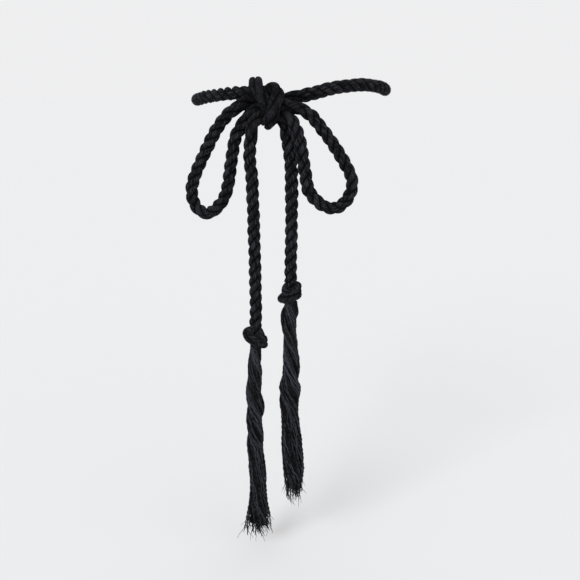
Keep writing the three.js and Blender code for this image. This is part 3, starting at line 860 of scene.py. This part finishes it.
def yarn_material(name, dark, light, yarns_differ):
    """Matte black spun yarn: two plies twisted together, with fine fibres and slight colour changes, and painted shade
    where little light reaches.
    """
    nodes = Nodes(name)
    split = nodes.add("SeparateXYZ", (0, nodes.add("UVMap", uv_map="yarns").outputs[0]))
    across, down = split.outputs[0], split.outputs[1]
    place = nodes.add("TexCoord").outputs["Object"]
    # each point's painted shade: 1 in the open, 0 where little light reaches
    painted_light_share = nodes.add("Attribute", attribute_name="painted_light_share").outputs["Fac"]
    each = nodes.add("TexWhiteNoise", ("W", nodes.math("ROUND", across)), noise_dimensions="1D")
    streak_across = nodes.math("MULTIPLY", across, STREAKS_ACROSS)
    streak_down = nodes.math("MULTIPLY", down, STREAKS_DOWN)
    streak_place = nodes.add("CombineXYZ", (0, streak_across), (1, streak_down)).outputs[0]
    turns = nodes.math("ADD", nodes.math("DIVIDE", down, PLY_PITCH), across)
    plies = nodes.math("SINE", nodes.math("MULTIPLY", turns, 2 * math.pi))

    share = nodes.math("MULTIPLY", each.outputs["Value"], yarns_differ)
    noises = []
    total = yarns_differ
    for where, kind in ((place, PATCHES), (place, FLUFF), (streak_place, STREAKS), (place, FIBRES)):
        scale, detail, roughness, weight = kind
        noise = nodes.noise(where, scale, detail, roughness)
        share = nodes.math("ADD", share, nodes.math("MULTIPLY", noise, weight))
        noises.append(noise)
        total += weight
    share = nodes.math("ADD", share, nodes.math("MULTIPLY", plies, PLY_WEIGHT))
    share = nodes.math("SUBTRACT", share, total / 2 - MEAN_LIGHT)
    unshaded_color = nodes.mix(share, dark, light)

    _, fluff, _, fibres = noises
    height = nodes.math("ADD", nodes.math("MULTIPLY", plies, PLY_HEIGHT), fibres)
    height = nodes.math("ADD", height, fluff)
    bump = nodes.add("Bump", ("Strength", BUMP_STRENGTH), ("Distance", BUMP_DISTANCE), ("Height", height))
    # the base colour carries painted shade, turning to the painted shade colour in grooves, between yarns and inside
    # the tassels
    nodes.shade(
        Base_Color=nodes.mix(painted_light_share, PAINTED_SHADE_COLOR, unshaded_color), Normal=bump.outputs[0],
        Roughness=YARN_ROUGHNESS, Specular_IOR_Level=YARN_SPECULAR, Sheen_Weight=SHEEN_WEIGHT,
        Sheen_Roughness=SHEEN_ROUGHNESS, Sheen_Tint=SHEEN_TINT,
    )
    return nodes.material


def floor_material():
    nodes = Nodes("pale_floor")
    nodes.shade(Base_Color=FLOOR_COLOR, Roughness=1.0, Specular_IOR_Level=0.0)
    return nodes.material


def add_sun(name, direction, spread, strength, color):
    data = bpy.data.lights.new(name, "SUN")
    data.angle = math.radians(spread)
    data.energy = strength
    data.color = color
    light = bpy.data.objects.new(name, data)
    light.rotation_euler = Vector(direction).to_track_quat("-Z", "Y").to_euler()
    bpy.context.scene.collection.objects.link(light)


def make_room():
    """A pale floor, an even sky and two soft suns."""
    floor_height = cad_low.z - FLOOR_GAP
    bpy.ops.mesh.primitive_plane_add(size=FLOOR_SIZE, location=(0, 0, floor_height))
    floor = bpy.context.object
    floor.name = "floor"
    floor.data.materials.append(floor_material())
    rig.stage(floor)
    world = bpy.data.worlds.new("room")
    world.use_nodes = True
    background = world.node_tree.nodes["Background"]
    background.inputs["Color"].default_value = ROOM_COLOR
    background.inputs["Strength"].default_value = 1
    bpy.context.scene.world = world
    bpy.context.scene.view_settings.view_transform = "Standard"
    add_sun("key", direction=(0.55, 0.75, -0.65), spread=30, strength=1.7, color=(0.95, 0.98, 1))
    add_sun("fill", direction=(-0.8, 0.6, -0.3), spread=60, strength=0.3, color=(1, 0.97, 0.95))


make_camera()
rope_material = yarn_material("rope", ROPE_DARK, ROPE_LIGHT, ROPE_YARNS_DIFFER)
# a darker copy of the rope material, painted shade for the bow's knot
knot_shade_rope_material = yarn_material("rope_with_painted_knot_shade", KNOT_SHADE_ROPE_DARK, KNOT_SHADE_ROPE_LIGHT, ROPE_YARNS_DIFFER)
tassel_material = yarn_material("yarn", TASSEL_DARK, TASSEL_LIGHT, TASSEL_YARNS_DIFFER)

pieces, paths = make_belt_rope(rope_material, knot_shade_rope_material)
left_end = from_waist_line(TAIL_LEFT)[0]
right_end = from_waist_line(TAIL_RIGHT)[-1]
pieces["end_knot_left"] = make_end_knot("rope_of_end_knot_left", left_end, LEFT_END_KNOT, rope_material)
pieces["end_knot_right"] = make_end_knot("rope_of_end_knot_right", right_end, RIGHT_END_KNOT, rope_material)
knot_drop = np.array((0, 0, END_KNOT_HEIGHT))
pieces["tassel_left"] = Tassel(
    "yarns_of_tassel_left", left_end - knot_drop, LEFT_TASSEL_LENGTH, LEFT_TASSEL, LEFT_FRAY, LEFT_SEED
).make(tassel_material)
pieces["tassel_right"] = Tassel(
    "yarns_of_tassel_right", right_end - knot_drop, RIGHT_TASSEL_LENGTH, RIGHT_TASSEL, RIGHT_FRAY, RIGHT_SEED
).make(tassel_material)

for node, piece in pieces.items():
    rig.ride(piece, "root")
    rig.replaces(piece, node)
    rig.slot(piece, "yarn" if node.startswith("tassel") else "rope")


def path_length(path):
    return float(np.linalg.norm(np.diff(path, axis=0), axis=1).sum())


for node in ("waist_rope", "bow_loop_left", "bow_loop_right", "tail_left", "tail_right"):
    path = paths[node]
    tail = node.startswith("tail")
    if node == "tail_left":
        path = path[::-1]
    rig.cord(
        pieces[node],
        exit=path[0],
        length=path_length(path),
        diameter=ROPE_DIAMETER,
        far_end="knot" if tail else "object",
        stiffness="limp",
        lay="taut" if node == "waist_rope" else "hanging",
        path=path,
        with_pieces=[pieces[node.replace("tail", "end_knot")]] if tail else [],
    )

make_room()
low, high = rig.bounds()
with open("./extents.json", "w") as file:
    json.dump({"cad": [list(cad_low), list(cad_high)], "visual": [list(low), list(high)]}, file)
